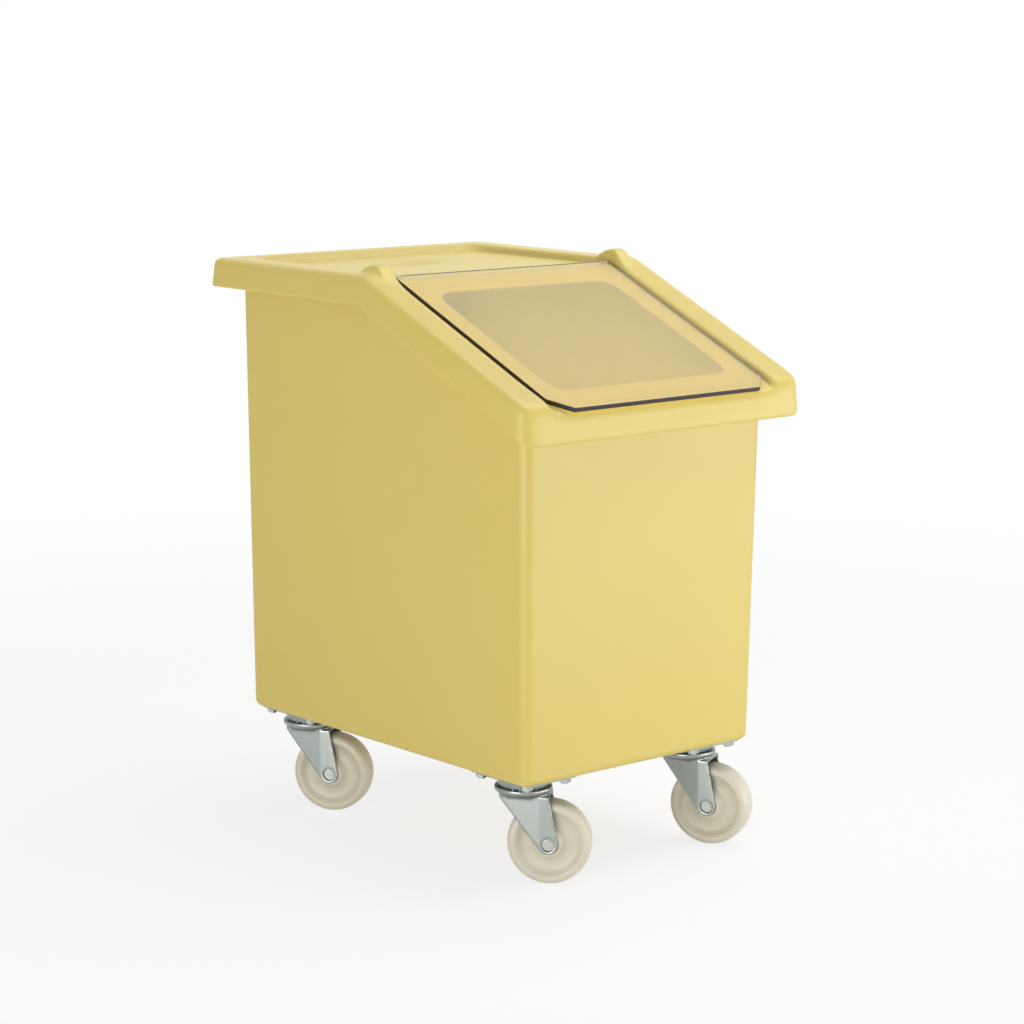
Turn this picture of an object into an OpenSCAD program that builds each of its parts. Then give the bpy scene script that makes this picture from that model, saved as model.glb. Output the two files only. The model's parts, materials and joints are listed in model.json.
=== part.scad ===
/* [Tub] */
// Outside width of the tub at its top
tub_w = 378; // [330:1:460]
// Outside depth of the tub at its top
tub_d = 542; // [500:1:640]
// How far each wall of the tub leans in, from its top down to its base
tub_taper = 7; // [0:0.5:10]
// Wall of the tub, its floor and its rim
tub_wall = 5; // [4:0.5:7]
// Outside radius of the tub's upright corners
tub_corner_r = 14; // [12:1:40]
// Outside radius of the edge round the tub's floor
tub_base_r = 6; // [4:0.5:12]
// Depth of the turned-down edge of the rim
rim_lip_h = 16; // [10:1:22]

/* [Cover] */
// Height from the tub's underside to the cover's top rim
bin_h = 573; // [500:1:700]
// Wall of the cover
cover_wall = 5; // [4:0.5:6]
// How far the cover stands out past the tub at each side
side_overhang = 38; // [34:0.5:46]
// How far the cover stands out past the tub at the front
front_overhang = 37; // [34:0.5:46]
// How far the cover stands out past the tub at the rear
rear_overhang = 28; // [26:0.5:40]
// Radius of the cover's corners seen from above
cover_corner_r = 26; // [26:1:45]
// Radius of the edge round the cover's top
cover_edge_r = 14; // [11:0.5:18]
// Depth from the cover's rear edge to the bend
deck_d = 311.5; // [270:0.5:340]
// Slope of the front below level, in degrees
slope_angle = 23.4; // [18:0.1:28]
// Depth of the skirt at the sides and the rear
skirt_h = 35; // [30:1:45]
// Depth of the skirt at the front
front_skirt_h = 44; // [40:1:55]
// Length over which the side skirt deepens towards the front
skirt_ease_l = 52; // [40:1:80]
// Depth of the recess that the deck and the flap lie in
recess_h = 9.5; // [8:0.5:11]
// Run of the bevel round the recess
recess_bevel = 6; // [4:0.5:8]
// Distance from the tub's inner wall to the recess floor
recess_inset = 9; // [9:0.5:20]
// Radius of the recess corners at the rear
recess_corner_r = 14; // [8:1:25]
// Radius of the front edge below the flap
front_edge_r = 10; // [6:0.5:14]
// Clearance between the rim of the tub and the cover
rim_gap = 0.3; // [0.2:0.1:0.6]

/* [Hatch] */
// Ledge under the flap at each side
hatch_side_ledge = 35; // [25:1:60]
// Ledge under the flap at the rear
hatch_rear_ledge = 42; // [30:1:70]
// Distance from the tub's inner front wall to the front of the hatch
hatch_front_inset = 4; // [2:0.5:30]
// Radius of the hatch corners
hatch_corner_r = 22; // [10:1:40]

/* [Finger recess] */
// Distance from the recess floor's rear edge to the middle of the finger recess
finger_inset = 84; // [50:1:120]
// Straight length of the finger recess
finger_l = 64; // [40:1:100]
// Radius of its hollow
finger_r = 42; // [30:1:60]
// Depth of its hollow
finger_h = 4.5; // [3:0.5:6]

/* [Flap] */
// Thickness of the flap
flap_t = 6; // [5:0.5:6.5]
// Gap between the flap and the recess at each side
flap_side_gap = 2; // [1.5:0.5:4]
// Gap between the closed flap and the ledge
flap_rest_gap = 0.3; // [0.2:0.1:0.6]
// Setback of the flap's front edge from the front of the cover
flap_setback = 0.5; // [0:0.5:10]
// Length of the cut across each front corner
flap_chamfer = 25; // [10:1:45]

/* [Hinge] */
// Diameter of the hinge pins
pin_d = 3; // [2:0.5:3.5]
// Depth of the pin in the flap
pin_in_flap = 15; // [10:1:30]
// Depth of the pin's hole in the boss
pin_in_boss = 8; // [6:0.5:8.5]
// Gap between the boss and the flap
boss_gap = 1.5; // [0.5:0.5:1.5]
// Depth of the channel under the flap's rear edge
channel_h = 2; // [1:0.5:2.5]
// Height of the boss above the cover's top rim
boss_h = 10; // [6:0.5:14]
// Radius of the round top of the boss
boss_r = 22; // [18:1:26]
// Straight length of the boss, front to rear
boss_l = 16; // [6:1:30]
// Distance from the side of the cover to the middle of the boss
boss_inset = 36; // [34:1:42]
// Distance of the middle of the boss behind the bend
boss_back = 8; // [0:1:15]

/* [Castors] */
// Distance from the side of the tub's base to the king pins
castor_inset_x = 47; // [47:0.5:90]
// Distance from the front and the rear of the tub's base to the king pins
castor_inset_y = 56; // [56:0.5:120]
// Distance from the king pin to the axle
trail = 32; // [26:1:40]
// Direction in which the front left wheel trails
front_left_yaw = -48; // [-180:1:180]
// Direction in which the front right wheel trails
front_right_yaw = -62; // [-180:1:180]
// Direction in which the rear left wheel trails
rear_left_yaw = -56; // [-180:1:180]
// Direction in which the rear right wheel trails
rear_right_yaw = -52; // [-180:1:180]

/* [Wheel] */
// Diameter of the wheel
wheel_d = 100; // [80:1:125]
// Width of the wheel's tread
wheel_w = 34; // [28:1:37]
// Radius of the edges of the tread
tread_r = 9; // [5:0.5:12]
// Depth of the rim between the tread and the web
rim_depth = 13; // [11:0.5:16]
// Thickness of the web
web_t = 22; // [14:1:26]
// Length of the hub
hub_l = 39; // [37:1:46]
// Diameter of the hub
hub_d = 30; // [26:1:40]
// Taper of the hub and of the rim down to the web
web_taper = 5; // [2:0.5:7]
// Gap between the hub and each leg of the fork
hub_gap = 0.4; // [0.3:0.1:1]

/* [Fork] */
// Thickness of the fork's sheet
fork_t = 3; // [2:0.5:4]
// Gap between the wheel and the crown of the fork
wheel_gap = 5; // [4.5:0.5:8]
// Bevel along each side of the crown
fork_bevel = 2.5; // [1:0.5:3]
// Radius of the lower end of each leg
leg_end_r = 12; // [10:0.5:16]
// Reach of the crown behind the king pin
crown_back = 27; // [22:1:30]
// Reach of the crown in front of the king pin
crown_front = 33; // [28:1:34]
// Distance of the bend down each leg behind the axle
flank_back = 11; // [8:0.5:14]
// Angle by which each leg turns inwards behind that bend
flank_angle = 5; // [0:0.5:6]
// Diameter of the swivel head
head_d = 68; // [62:1:74]
// Height of the swivel head
head_h = 7; // [6:0.5:10]
// Taper round the lower edge of the swivel head
head_taper = 5; // [1:0.5:5.5]

/* [Top plate] */
// Length of the top plate, front to rear
plate_l = 105; // [100:1:115]
// Width of the top plate
plate_w = 85; // [80:1:92]
// Thickness of the top plate
plate_t = 4; // [3:0.5:6]
// Radius of the plate's corners
plate_corner_r = 10; // [5:1:12]
// Depth of the race pressed into the plate
dish_h = 12.5; // [7:0.5:14]
// Diameter of that race
dish_d = 64; // [60:1:68]
// Taper of that race, on the diameter
dish_taper = 4; // [1:0.5:6]
// Gap between the two races
race_gap = 2.5; // [2:0.5:4]

/* [Swivel and axle] */
// Diameter of the king pin
king_d = 14; // [10:1:16]
// Diameter of the king pin's head
king_head_d = 24; // [20:1:26]
// Height of the king pin's head
king_head_h = 3.5; // [3:0.5:4]
// Thickness of the washer above that head
race_washer_t = 1.8; // [1:0.2:2.2]
// Diameter of the swivel balls
ball_d = 8; // [6:0.5:9]
// Diameter of the circle that the balls run on
ball_circle_d = 48; // [44:1:52]
// Number of balls
ball_count = 16; // [10:1:16]
// Diameter of the axle
axle_d = 12; // [8:0.5:14]
// Depth of the axle's end below the face of the leg
axle_recess = 2; // [0.5:0.5:2.5]
// Wall of the sleeve on the axle
sleeve_wall = 1.5; // [1:0.5:2.5]

/* [Mounting bolts] */
// Distance between the bolts, front to rear
bolt_pitch_l = 80; // [78:1:90]
// Distance between the bolts, side to side
bolt_pitch_w = 60; // [56:1:66]
// Diameter of the bolts
bolt_d = 8; // [6:1:10]
// Clearance of the bolts in their holes, on the diameter
bolt_clearance = 1; // [0.4:0.1:1.5]
// Diameter of the bolt heads
bolt_head_d = 16; // [14:0.5:17]
// Height of the bolt heads
bolt_head_h = 4; // [3:0.5:6]
// Diameter of the flat on top of the bolt heads
bolt_flat_d = 9; // [6:0.5:12]
// Diameter of the washers
washer_d = 18; // [17:0.5:19]
// Thickness of the washers
washer_t = 1.6; // [1:0.2:2.5]
// Width of the nuts across their flats
nut_af = 13; // [12:0.5:16]
// Height of the nuts
nut_h = 6.5; // [5:0.5:8]
// Length of bolt that stands out below the nut
bolt_end = 2; // [1:0.5:4]

/* [Fits] */
// Radial clearance of pins and bores that turn
running_gap = 0.05; // [0.02:0.01:0.1]
// Clearance round the swivel balls and the race washer
race_clearance = 0.1; // [0.05:0.05:0.3]

/* [Hidden] */
$fn = 64;
// Facets of the moulded forms
form_fn = 32;
// Spheres along each corner of the cover
corner_steps = 6;
// Points along the curve where the side skirt deepens
ease_steps = 8;
// Overshoot of cuts past the faces that they cut
cut = 1;
// Least radius of the edge round the tub's floor on its inside
least_edge_r = 1;
// Length of cuts that go right through a castor
through = 2 * wheel_d;

yellow = "#E0D08A";
smoky = [0.78, 0.70, 0.45, 0.55];
nylon = "#D2CFC0";
zinc = "#B9BEB7";
steel = "#9A9D9C";

// Castor levels above the ground, from the wheel up
wheel_r = wheel_d / 2;
crown_z = wheel_d + wheel_gap;
crown_top_z = crown_z + fork_t;
head_top_z = crown_top_z + head_h;
dish_z = head_top_z + race_gap;
plate_z = dish_z + dish_h;
base_z = plate_z + plate_t;
ball_z = head_top_z + race_gap / 2;

// Plan of the cover, centred on the origin, and of the tub under it
base_w = tub_w - 2 * tub_taper;
base_d = tub_d - 2 * tub_taper;
cover_w = tub_w + 2 * side_overhang;
cover_d = tub_d + front_overhang + rear_overhang;
cover_front = -cover_d / 2;
cover_rear = cover_d / 2;
tub_y = (front_overhang - rear_overhang) / 2;
bend_y = cover_rear - deck_d;
cover_top = base_z + bin_h;
// Level below the lowest edge of the skirt
form_low = cover_top - (bend_y - cover_front) * tan(slope_angle) - 2 * front_skirt_h;

// Recess of the deck and the flap
recess_half = tub_w / 2 - tub_wall - recess_inset;
recess_rear = tub_y + tub_d / 2 - tub_wall - recess_inset;
bevel_skew = sqrt(pow(recess_bevel, 2) + pow(recess_h, 2)) / recess_h;

// The hinge axis lies as far from the ledge as from the deck
axis_rise = flap_t / 2 + flap_rest_gap;
axis_y = bend_y + (recess_h - axis_rise) * tan(slope_angle / 2);
axis_z = cover_top - recess_h + axis_rise;
flap_half = recess_half - flap_side_gap;
flap_l = (axis_y - cover_front - flap_setback - flap_t / 2 * sin(slope_angle)) / cos(slope_angle);
boss_x = flap_half + boss_gap;

// Fork and wheel, where the legs turn inwards beside the hub and the tread
hub_half = hub_l / 2 + (hub_d / 2 - flank_back) * tan(flank_angle);
tread_half = wheel_w / 2 + (wheel_r - tread_r - flank_back) * tan(flank_angle);
fork_gap = 2 * (max(hub_half, tread_half) + hub_gap);
fork_half = fork_gap / 2 + fork_t;
sleeve_r = axle_d / 2 + sleeve_wall;
fork_hole_r = axle_d / 2 + running_gap;

// Each castor has its king pin and the direction in which its wheel trails
king_x = base_w / 2 - castor_inset_x;
king_front = tub_y - base_d / 2 + castor_inset_y;
king_rear = tub_y + base_d / 2 - castor_inset_y;
front_left = [-king_x, king_front, front_left_yaw];
front_right = [king_x, king_front, front_right_yaw];
rear_left = [-king_x, king_rear, rear_left_yaw];
rear_right = [king_x, king_rear, rear_right_yaw];
castors = [front_left, front_right, rear_left, rear_right];

// Level of a surface at depth t below the cover's outside, along the flat deck and down the slope
function deck_level(t) = cover_top - t;
function slope_level(y, t) = cover_top - t / cos(slope_angle) - (bend_y - y) * tan(slope_angle);
function bend_at(t) = bend_y + t * tan(slope_angle / 2);

// Where the tub's rim leaves the level of the deck for the slope, at depth t below the cover's outside
function rim_bend(t) = bend_y + ((t + recess_h) / cos(slope_angle) - t) / tan(slope_angle);

// Points where the tangents from a point touch a circle, one for each side
function tangent_point(from, centre, r, side) =
  let (away = from - centre)
  let (angle = atan2(away[1], away[0]) + side * acos(r / norm(away)))
  centre + r * [cos(angle), sin(angle)];

// Rectangle with round corners, between two opposite corners
module round_rect(low, high, r) {
  translate([low[0] + r, low[1]])
    square([high[0] - low[0] - 2 * r, high[1] - low[1]]);
  translate([low[0], low[1] + r])
    square([high[0] - low[0], high[1] - low[1] - 2 * r]);
  for (x = [low[0] + r, high[0] - r], y = [low[1] + r, high[1] - r])
    translate([x, y])
      circle(r);
}

// Turns an outline of depth and height into a solid across the whole width
module across(width) {
  rotate([90, 0, 90])
    linear_extrude(width, center = true)
      children();
}

// Frame on the bend line of the cover, with the slope as its floor
module on_slope() {
  translate([0, bend_y, cover_top])
    rotate([slope_angle, 0, 0])
      children();
}

// Tub

// Outside of the tub, or its inside when inset by the wall
module tub_form(inset) {
  r = tub_corner_r - inset;
  edge = max(tub_base_r - inset, least_edge_r);
  hull()
    for (x = [-1, 1], y = [-1, 1]) {
      translate([x * (base_w / 2 - tub_corner_r), tub_y + y * (base_d / 2 - tub_corner_r), base_z + inset])
        rotate_extrude($fn = form_fn) {
          square([r - edge, edge]);
          intersection() {
            translate([r - edge, edge])
              circle(edge);
            square([r, edge]);
          }
        }
      translate([x * (tub_w / 2 - tub_corner_r), tub_y + y * (tub_d / 2 - tub_corner_r), cover_top])
        cylinder(r = r, h = cut, $fn = form_fn);
    }
}

// Everything that lies deeper than t below the rails of the deck and below the recess of the slope
module under_cover(t) {
  front = cover_front - cut;
  rear = cover_rear + cut;
  low = base_z - cut;
  across(2 * cover_w)
    polygon([[rear, low], [rear, deck_level(t)], [rim_bend(t), deck_level(t)],
      [front, slope_level(front, t + recess_h)], [front, low]]);
}

// Upright prism on the cover's plan, set in by a distance and longer at both ends
module cover_plan(inset, longer) {
  translate([0, 0, form_low - longer])
    linear_extrude(cover_top - form_low + 2 * longer)
      round_rect([-cover_w / 2 + inset, cover_front + inset],
        [cover_w / 2 - inset, cover_rear - inset], cover_corner_r - inset);
}

// Rim that follows the underside of the cover, and its turned-down edge
module tub_rim(top) {
  difference() {
    intersection() {
      under_cover(top);
      cover_plan(cover_edge_r, 0);
    }
    under_cover(top + tub_wall);
    tub_form(tub_wall);
  }
  difference() {
    intersection() {
      under_cover(top);
      cover_plan(cover_edge_r, 0);
    }
    under_cover(top + rim_lip_h);
    cover_plan(cover_edge_r + tub_wall, cut);
  }
}

module tub() {
  top = cover_wall + rim_gap;
  color(yellow)
    difference() {
      union() {
        intersection() {
          difference() {
            tub_form(0);
            tub_form(tub_wall);
          }
          under_cover(top);
        }
        tub_rim(top);
      }
      at_bolts()
        translate([0, 0, base_z - cut])
          cylinder(d = bolt_d + bolt_clearance, h = tub_wall + 2 * cut);
    }
}

// Cover

// Outside of the cover, or its inside when inset by the wall
module cover_form(inset) {
  edge = cover_edge_r - inset;
  deep = inset + edge;
  hull() {
    for (side = [-1, 1], step = [0 : corner_steps]) {
      angle = 90 * step / corner_steps;
      x = cover_w / 2 - cover_corner_r + (cover_corner_r - cover_edge_r) * cos(angle);
      out = cover_corner_r - (cover_corner_r - cover_edge_r) * sin(angle);
      translate([side * x, cover_rear - out, deck_level(deep)])
        sphere(edge, $fn = form_fn);
      translate([side * x, cover_front + out, slope_level(cover_front + out, deep)])
        sphere(edge, $fn = form_fn);
    }
    for (side = [-1, 1]) {
      translate([side * (cover_w / 2 - cover_edge_r), bend_at(deep), deck_level(deep)])
        sphere(edge, $fn = form_fn);
      for (y = [cover_front + cover_corner_r, cover_rear - cover_corner_r])
        translate([side * (cover_w / 2 - cover_corner_r), y, form_low])
          cylinder(r = cover_corner_r - inset, h = cut, $fn = form_fn);
    }
  }
}

// Half width of the recess floor, and of its bevel just above the rails, when grown by a wall
function floor_half(grow) = recess_half + grow * (bevel_skew - recess_bevel / recess_h);
function bevel_run(grow) = recess_bevel * (recess_h + grow + cut) / recess_h;

// Recess of the rear deck, or its underside when grown by the wall
module deck_recess(grow) {
  depth = recess_h + grow;
  half = floor_half(grow) - recess_corner_r;
  rear = recess_rear + floor_half(grow) - recess_half - recess_corner_r;
  hull()
    for (side = [-1, 1], y = [bend_y, rear])
      translate([side * half, y, deck_level(depth)])
        cylinder(r1 = recess_corner_r, r2 = recess_corner_r + bevel_run(grow),
          h = depth + cut, $fn = form_fn);
}

// Recess of the slope, open at the front, or its underside when grown by the wall
module slope_recess(grow) {
  depth = recess_h + grow;
  low = floor_half(grow);
  high = low + bevel_run(grow);
  on_slope()
    rotate([90, 0, 0])
      translate([0, 0, -recess_corner_r])
        linear_extrude(cover_d)
          polygon([[-high, cut], [-low, -depth], [low, -depth], [high, cut]]);
}

// What the round front edge under the flap takes off
module front_edge_cut() {
  centre_y = cover_front + front_edge_r;
  centre_z = slope_level(centre_y, recess_h + front_edge_r);
  reach = front_edge_r + cut;
  across(2 * recess_half)
    difference() {
      polygon([[cover_front - cut, centre_z], [centre_y, centre_z],
        [centre_y, centre_z] + reach * [-sin(slope_angle), cos(slope_angle)],
        [cover_front - cut, centre_z + reach]]);
      translate([centre_y, centre_z])
        circle(front_edge_r);
    }
}

// Everything below the lower edge of the skirt
module skirt_cut() {
  front_z = slope_level(cover_front, 0) - front_skirt_h;
  ease_start = cover_front + skirt_ease_l;
  ease = [for (i = [0 : ease_steps])
    let (f = i / ease_steps)
    let (y = ease_start - f * skirt_ease_l)
    [y, slope_level(y, skirt_h) + (front_z - slope_level(cover_front, skirt_h)) * pow(f, 2)]];
  across(2 * cover_w)
    polygon(concat(
      [[cover_rear + cut, form_low - cut], [cover_rear + cut, deck_level(skirt_h)],
        [bend_at(skirt_h), deck_level(skirt_h)]],
      ease,
      [[cover_front - cut, front_z], [cover_front - cut, form_low - cut]]));
}

// Hollow for the fingers in the deck, or its underside when grown by the wall
module finger_hollow(grow) {
  r = finger_r + grow;
  translate([0, recess_rear - finger_inset, deck_level(recess_h + finger_h) + finger_r]) {
    rotate([0, 90, 0])
      cylinder(r = r, h = finger_l, center = true);
    for (side = [-1, 1])
      translate([side * finger_l / 2, 0, 0])
        sphere(r);
  }
}

// Round boss over the hinge pin, across the bend of the rail beside the flap
module boss(side) {
  intersection() {
    translate([side * (cover_w / 2 - boss_inset), bend_y + boss_back, cover_top + boss_h - boss_r])
      rotate([90 + slope_angle / 2, 0, 0]) {
        cylinder(r = boss_r, h = boss_l, center = true);
        for (end = [-1, 1])
          translate([0, 0, end * boss_l / 2])
            sphere(boss_r);
      }
    translate([side * (boss_x + cover_w / 4), bend_y + boss_back, cover_top])
      cube([cover_w / 2, boss_l + 2 * boss_r + 2 * cut, 2 * boss_r], center = true);
  }
}

// Channel in the deck under the round rear edge of the flap
module hinge_channel() {
  translate([0, axis_y, axis_z])
    rotate([0, 90, 0])
      cylinder(r = axis_rise + channel_h, h = 2 * boss_x, center = true);
}

// Opening under the flap, measured down the slope from the bend
module hatch() {
  front_y = tub_y - tub_d / 2 + tub_wall + hatch_front_inset;
  front = (front_y - bend_y - recess_h * sin(slope_angle)) / cos(slope_angle);
  half = flap_half - hatch_side_ledge;
  on_slope()
    translate([0, 0, -recess_h - cover_wall - cut])
      linear_extrude(cover_wall + 2 * cut)
        round_rect([-half, front], [half, -hatch_rear_ledge], hatch_corner_r);
}

module cover() {
  color(yellow)
    difference() {
      union() {
        difference() {
          cover_form(0);
          deck_recess(0);
          slope_recess(0);
          front_edge_cut();
        }
        for (side = [-1, 1])
          boss(side);
      }
      difference() {
        cover_form(cover_wall);
        deck_recess(cover_wall);
        slope_recess(cover_wall);
        intersection() {
          finger_hollow(cover_wall);
          translate([0, recess_rear - finger_inset, deck_level(recess_h)])
            cube([2 * recess_half, 2 * finger_r, 2 * (finger_h + cover_wall + cut)], center = true);
        }
      }
      finger_hollow(0);
      skirt_cut();
      hatch();
      hinge_channel();
      for (side = [-1, 1])
        translate([side * boss_x, axis_y, axis_z])
          rotate([0, side * 90, 0])
            translate([0, 0, -cut])
              cylinder(d = pin_d + 2 * running_gap, h = pin_in_boss + cut);
    }
}

// Flap and its hinge pins

// Frame on the hinge axis, with the flap's middle plane as its floor
module on_hinge() {
  translate([0, axis_y, axis_z])
    rotate([slope_angle, 0, 0])
      children();
}

module flap() {
  color(smoky)
    on_hinge()
      difference() {
        union() {
          translate([0, 0, -flap_t / 2])
            linear_extrude(flap_t)
              polygon([[-flap_half, 0], [-flap_half, -flap_l + flap_chamfer],
                [-flap_half + flap_chamfer, -flap_l], [flap_half - flap_chamfer, -flap_l],
                [flap_half, -flap_l + flap_chamfer], [flap_half, 0]]);
          rotate([0, 90, 0])
            cylinder(d = flap_t, h = 2 * flap_half, center = true);
        }
        for (side = [-1, 1])
          translate([side * flap_half, 0, 0])
            rotate([0, side * -90, 0])
              translate([0, 0, -cut])
                cylinder(d = pin_d + 2 * running_gap, h = pin_in_flap + cut);
      }
}

module hinge_pin(side) {
  free_end = race_clearance;
  length = pin_in_flap + boss_gap + pin_in_boss - 2 * free_end;
  color(steel)
    translate([side * (flap_half - pin_in_flap + free_end), axis_y, axis_z])
      rotate([0, side * 90, 0])
        cylinder(d = pin_d, h = length);
}

// Castors

// Place of a castor on its king pin, with +X towards its wheel
module at_castor(castor) {
  translate([castor[0], castor[1], 0])
    rotate(castor[2])
      children();
}

// Place of a castor on its king pin, in line with the tub
module at_king_pin(castor) {
  translate([castor[0], castor[1], 0])
    children();
}

// Frame on the axle, with +Z along it
module on_axle() {
  translate([trail, 0, wheel_r])
    rotate([90, 0, 0])
      children();
}

// Groove that the swivel balls run in
module ball_groove() {
  translate([0, 0, ball_z])
    rotate_extrude()
      translate([ball_circle_d / 2, 0])
        circle(ball_d / 2 + race_clearance);
}

module plate() {
  color(zinc)
    difference() {
      union() {
        translate([0, 0, plate_z])
          linear_extrude(plate_t)
            round_rect([-plate_w / 2, -plate_l / 2], [plate_w / 2, plate_l / 2], plate_corner_r);
        translate([0, 0, dish_z])
          cylinder(d1 = dish_d - dish_taper, d2 = dish_d, h = dish_h);
      }
      ball_groove();
      translate([0, 0, dish_z - cut])
        cylinder(d = king_d + 2 * running_gap, h = dish_h + plate_t + 2 * cut);
      for (x = [-1, 1], y = [-1, 1])
        translate([x * bolt_pitch_w / 2, y * bolt_pitch_l / 2, plate_z - cut])
          cylinder(d = bolt_d + bolt_clearance, h = plate_t + 2 * cut);
    }
}

module king_pin() {
  head_top = crown_z - race_washer_t - 2 * race_clearance;
  color(steel) {
    translate([0, 0, head_top - king_head_h])
      cylinder(d = king_head_d, h = king_head_h);
    translate([0, 0, head_top])
      cylinder(d = king_d, h = base_z - race_clearance - head_top);
  }
}

module balls() {
  color(steel)
    for (i = [0 : ball_count - 1])
      rotate(360 * i / ball_count)
        translate([ball_circle_d / 2, 0, ball_z])
          sphere(d = ball_d);
}

module race_washer() {
  color(steel)
    translate([0, 0, crown_z - race_clearance - race_washer_t])
      difference() {
        cylinder(d = king_head_d + 2 * race_washer_t, h = race_washer_t);
        translate([0, 0, -cut])
          cylinder(d = king_d + 2 * running_gap, h = race_washer_t + 2 * cut);
      }
}

// Plan of the fork, whose sides turn inwards behind the bend down each leg
module fork_plan(inset, longer) {
  bend_x = trail - flank_back + inset * tan(flank_angle / 2);
  half = fork_half - inset;
  front = trail + leg_end_r + longer;
  rear = -crown_back - longer;
  rear_half = half - (bend_x - rear) * tan(flank_angle);
  polygon([[front, -half], [front, half], [bend_x, half],
    [rear, rear_half], [rear, -rear_half], [bend_x, -half]]);
}

// Bent sheet of the fork: a crown with a leg down each side
module fork_sheet() {
  difference() {
    linear_extrude(crown_top_z)
      fork_plan(0, cut);
    translate([0, 0, -cut])
      linear_extrude(crown_z + cut)
        fork_plan(fork_t, 2 * cut);
  }
}

// What the bevel along each side of the crown leaves of the fork
module bevel_section() {
  half = fork_half + cut;
  high = crown_top_z + cut;
  bevel = fork_bevel + 2 * cut;
  polygon([[-half, -cut], [half, -cut], [half, high - bevel],
    [half - bevel, high], [bevel - half, high], [-half, high - bevel]]);
}

// Outline of a leg seen along the axle
module leg_outline() {
  centre = [trail, wheel_r];
  back = [-crown_back, crown_z];
  front = [crown_front, crown_z];
  polygon([[-crown_back, crown_top_z + cut], back, tangent_point(back, centre, leg_end_r, 1),
    tangent_point(front, centre, leg_end_r, -1), front, [crown_front, crown_top_z + cut]]);
  translate(centre)
    circle(leg_end_r);
}

module fork() {
  color(zinc)
    difference() {
      union() {
        intersection() {
          fork_sheet();
          rotate([90, 0, 90])
            linear_extrude(through, center = true)
              bevel_section();
          rotate([90, 0, 0])
            linear_extrude(through, center = true)
              leg_outline();
        }
        translate([0, 0, crown_top_z])
          cylinder(d1 = head_d - 2 * head_taper, d2 = head_d, h = head_taper);
        translate([0, 0, crown_top_z + head_taper])
          cylinder(d = head_d, h = head_h - head_taper);
      }
      ball_groove();
      translate([0, 0, crown_z - cut])
        cylinder(d = king_d + 2 * running_gap, h = fork_t + head_h + 2 * cut);
      on_axle()
        cylinder(r = fork_hole_r, h = through, center = true);
    }
}

module axle() {
  color(steel)
    on_axle()
      cylinder(d = axle_d, h = 2 * (fork_half - axle_recess), center = true);
}

module sleeve() {
  color(steel)
    on_axle()
      difference() {
        cylinder(r = sleeve_r, h = fork_gap, center = true);
        cylinder(r = fork_hole_r, h = through, center = true);
      }
}

// Half of the wheel's cross-section, from its bore to its tread
module wheel_section() {
  bore_r = sleeve_r + running_gap;
  hub_r = hub_d / 2;
  rim_r = wheel_r - rim_depth;
  edge_r = wheel_r - tread_r;
  difference() {
    union() {
      polygon([[0, -hub_l / 2], [hub_r, -hub_l / 2], [hub_r + web_taper, -web_t / 2],
        [rim_r, -web_t / 2], [rim_r, web_t / 2],
        [hub_r + web_taper, web_t / 2], [hub_r, hub_l / 2], [0, hub_l / 2]]);
      polygon([[rim_r - web_taper, -web_t / 2], [rim_r, -wheel_w / 2], [edge_r, -wheel_w / 2],
        [edge_r, wheel_w / 2], [rim_r, wheel_w / 2], [rim_r - web_taper, web_t / 2]]);
      translate([edge_r - cut, -wheel_w / 2 + tread_r])
        square([tread_r + cut, wheel_w - 2 * tread_r]);
      for (side = [-1, 1])
        translate([edge_r, side * (wheel_w / 2 - tread_r)])
          circle(tread_r);
    }
    translate([-cut, -hub_l])
      square([bore_r + cut, 2 * hub_l]);
  }
}

module wheel() {
  color(nylon)
    on_axle()
      rotate_extrude()
        wheel_section();
}

// Mounting bolts

// Every bolt position of the four castors
module at_bolts() {
  for (castor = castors, x = [-1, 1], y = [-1, 1])
    translate([castor[0] + x * bolt_pitch_w / 2, castor[1] + y * bolt_pitch_l / 2, 0])
      children();
}

module castor_bolts() {
  low = plate_z - nut_h - bolt_end;
  head_z = base_z + tub_wall + washer_t;
  color(steel)
    at_bolts() {
      translate([0, 0, low])
        cylinder(d = bolt_d, h = head_z - low);
      translate([0, 0, head_z])
        cylinder(d1 = bolt_head_d, d2 = bolt_flat_d, h = bolt_head_h);
    }
}

module castor_washers() {
  color(steel)
    at_bolts()
      translate([0, 0, base_z + tub_wall])
        difference() {
          cylinder(d = washer_d, h = washer_t);
          translate([0, 0, -cut])
            cylinder(d = bolt_d + 2 * running_gap, h = washer_t + 2 * cut);
        }
}

module castor_nuts() {
  color(zinc)
    at_bolts()
      translate([0, 0, plate_z - nut_h])
        difference() {
          cylinder(d = nut_af / cos(30), h = nut_h, $fn = 6);
          translate([0, 0, -cut])
            cylinder(d = bolt_d + 2 * running_gap, h = nut_h + 2 * cut);
        }
}

tub();
cover();
flap();
hinge_pin(-1);  // left_hinge_pin
hinge_pin(1);  // right_hinge_pin
castor_bolts();
castor_washers();
castor_nuts();
at_king_pin(front_left) plate();  // front_left_plate
at_king_pin(front_left) king_pin();  // front_left_king_pin
at_castor(front_left) balls();  // front_left_balls
at_castor(front_left) fork();  // front_left_fork
at_castor(front_left) race_washer();  // front_left_race_washer
at_castor(front_left) axle();  // front_left_axle
at_castor(front_left) sleeve();  // front_left_sleeve
at_castor(front_left) wheel();  // front_left_wheel
at_king_pin(front_right) plate();  // front_right_plate
at_king_pin(front_right) king_pin();  // front_right_king_pin
at_castor(front_right) balls();  // front_right_balls
at_castor(front_right) fork();  // front_right_fork
at_castor(front_right) race_washer();  // front_right_race_washer
at_castor(front_right) axle();  // front_right_axle
at_castor(front_right) sleeve();  // front_right_sleeve
at_castor(front_right) wheel();  // front_right_wheel
at_king_pin(rear_left) plate();  // rear_left_plate
at_king_pin(rear_left) king_pin();  // rear_left_king_pin
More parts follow.
